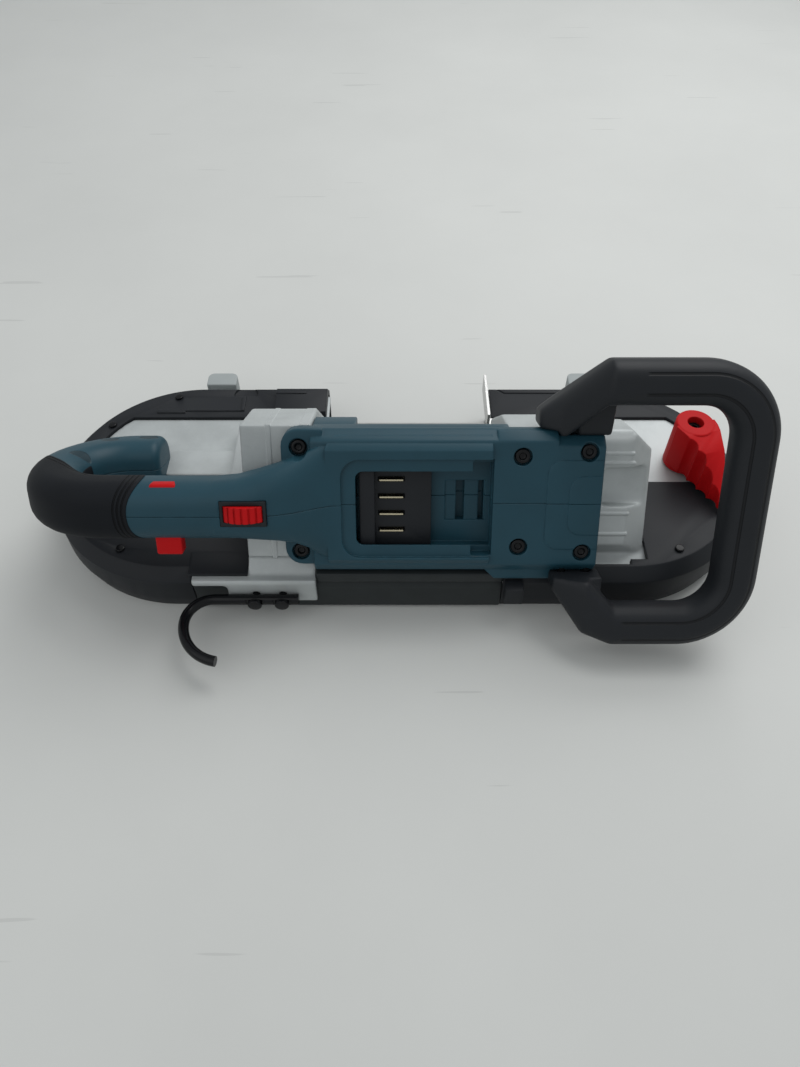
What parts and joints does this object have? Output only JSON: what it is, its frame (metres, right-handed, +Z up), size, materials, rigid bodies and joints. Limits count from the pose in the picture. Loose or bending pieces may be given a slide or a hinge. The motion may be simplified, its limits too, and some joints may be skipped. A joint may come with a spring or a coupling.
{
  "type": "portable band saw",
  "caption": "Cordless deep-cut portable band saw lying on its wheel side: cast frames, blade guards, clamshell body with D-shaped rear handle, loop front handle, tension lever and hook.",
  "frame": {"origin": "centre of the underside of the whole saw's bounding box, on the floor it lies on", "axes": "+X from the rear handle to the front handle, +Y away from the body towards the cutting run of the blade, +Z up with the wheel side down"},
  "size_m": [0.5048, 0.2678, 0.1752],
  "materials": {
    "cast_aluminium": "satin painted casting",
    "black_plastic": "fine texture",
    "dark_sheet": "satin",
    "teal_plastic": "satin moulded",
    "black_rubber": "matt",
    "black_steel": "black oxide",
    "brass_contacts": "plain",
    "green_board": "solder mask",
    "grey_plastic": "satin",
    "red_plastic": "satin moulded",
    "bright_steel": "ground",
    "wheel_aluminium": "cast and turned"
  },
  "bodies": {
    "frame": {"drive_frame": "cast_aluminium", "gear_case": "cast_aluminium", "idler_frame": "cast_aluminium", "frame_spine": "cast_aluminium", "rear_guard": "black_plastic", "front_guard": "black_plastic", "spine_cover": "dark_sheet", "housing_near_half": "teal_plastic", "housing_far_half": "teal_plastic", "handle_grip": "black_rubber", "front_handle": "black_plastic", "front_handle_grip": "black_rubber", "front_handle_bolts": "black_steel", "terminal_block": "black_plastic", "terminal_blades": "brass_contacts", "controller_board": "green_board", "switch_module": "grey_plastic", "dial_bezel": "black_plastic", "blade": "bright_steel", "drive_bearings": "bright_steel", "gear_bearings": "bright_steel", "gearbox_plate": "cast_aluminium", "motor_case": "bright_steel", "motor_stator": "bright_steel", "motor_end_cap": "cast_aluminium", "carriage_rails": "bright_steel", "rear_guide_bracket": "bright_steel", "front_guide_bracket": "bright_steel", "work_stop": "bright_steel", "hang_hook": "black_steel", "hook_screws": "black_steel", "housing_screws": "black_steel", "guard_screws": "black_steel", "rest_feet": "grey_plastic"},
    "drive": {"drive_wheel": "wheel_aluminium", "drive_tyre": "black_rubber", "drive_shaft": "bright_steel", "drive_wheel_nut": "bright_steel", "drive_gear": "bright_steel"},
    "jack": {"jack_shaft": "bright_steel", "jack_gear": "bright_steel"},
    "motor": {"motor_rotor": "bright_steel", "motor_pinion": "bright_steel", "motor_fan": "black_plastic"},
    "carriage": {"tension_carriage": "bright_steel", "idler_axle": "bright_steel", "idler_wheel_nut": "bright_steel"},
    "idler": {"idler_wheel": "wheel_aluminium", "idler_tyre": "black_rubber", "idler_bearing": "bright_steel"},
    "lever": {"tension_lever": "red_plastic", "lever_cam": "bright_steel", "lever_screw": "black_steel"},
    "trigger": {"trigger": "red_plastic"},
    "lock_off": {"lock_off_button": "red_plastic"},
    "dial": {"speed_dial": "red_plastic"},
    "roller_rear_near": {"rear_guide_roller_near": "bright_steel"},
    "roller_rear_far": {"rear_guide_roller_far": "bright_steel"},
    "roller_front_near": {"front_guide_roller_near": "bright_steel"},
    "roller_front_far": {"front_guide_roller_far": "bright_steel"}
  },
  "joints": [
    {"name": "drive_spin", "type": "hinge", "parent": "frame", "child": "drive", "pos_m": [-0.16719, 0.0219, 0.012], "axis": [0, 0, 1], "continuous": true},
    {"name": "jack_spin", "type": "hinge", "parent": "frame", "child": "jack", "pos_m": [-0.09919, 0.0219, 0.044], "axis": [0, 0, 1], "continuous": true},
    {"name": "motor_spin", "type": "hinge", "parent": "frame", "child": "motor", "pos_m": [-0.0804, 0.01506, 0.048], "axis": [0, 0, 1], "continuous": true},
    {"name": "tension_release", "type": "hinge", "parent": "frame", "child": "lever", "pos_m": [0.21, 0.0319, 0.036], "axis": [0, 0, 1], "range_deg": [0, 170]},
    {"name": "carriage_slide", "type": "slide", "parent": "frame", "child": "carriage", "axis": [1, 0, 0], "range_m": [-0.008, 0]},
    {"name": "idler_spin", "type": "hinge", "parent": "carriage", "child": "idler", "pos_m": [0.16719, 0.0219, 0.012], "axis": [0, 0, 1], "continuous": true},
    {"name": "trigger_pull", "type": "hinge", "parent": "frame", "child": "trigger", "pos_m": [-0.139, -0.04994, 0.0852], "axis": [0, 0.454, 0.891], "range_deg": [0, 8], "stiffness_Nm_per_rad": 0.5, "springref_deg": -8.59},
    {"name": "lock_off_press", "type": "slide", "parent": "frame", "child": "lock_off", "axis": [0, 0.454, 0.891], "range_m": [0, 0.006], "stiffness_N_per_m": 300, "springref_m": -0.003},
    {"name": "speed_dial_turn", "type": "hinge", "parent": "frame", "child": "dial", "pos_m": [-0.095, -0.06308, 0.0932], "axis": [0, 0.5, 0.866], "range_deg": [0, 300]},
    {"name": "roller_rear_near_spin", "type": "hinge", "parent": "frame", "child": "roller_rear_near", "pos_m": [-0.068, 0.0944, 0.00715], "axis": [0, -0.866, 0.5], "continuous": true},
    {"name": "roller_rear_far_spin", "type": "hinge", "parent": "frame", "child": "roller_rear_far", "pos_m": [-0.068, 0.1, 0.01685], "axis": [0, -0.866, 0.5], "continuous": true},
    {"name": "roller_front_near_spin", "type": "hinge", "parent": "frame", "child": "roller_front_near", "pos_m": [0.079, 0.0944, 0.00715], "axis": [0, -0.866, 0.5], "continuous": true},
    {"name": "roller_front_far_spin", "type": "hinge", "parent": "frame", "child": "roller_front_far", "pos_m": [0.079, 0.1, 0.01685], "axis": [0, -0.866, 0.5], "continuous": true}
  ],
  "couplings": [
    {"joint": "jack_spin", "follows": "drive_spin", "ratio": -5.8},
    {"joint": "motor_spin", "follows": "drive_spin", "ratio": 17.4},
    {"joint": "idler_spin", "follows": "drive_spin", "ratio": 1},
    {"joint": "carriage_slide", "follows": "tension_release", "m_per_rad": -0.0026895},
    {"joint": "roller_rear_near_spin", "follows": "drive_spin", "ratio": 15},
    {"joint": "roller_rear_far_spin", "follows": "drive_spin", "ratio": -15},
    {"joint": "roller_front_near_spin", "follows": "drive_spin", "ratio": 15},
    {"joint": "roller_front_far_spin", "follows": "drive_spin", "ratio": -15}
  ]
}
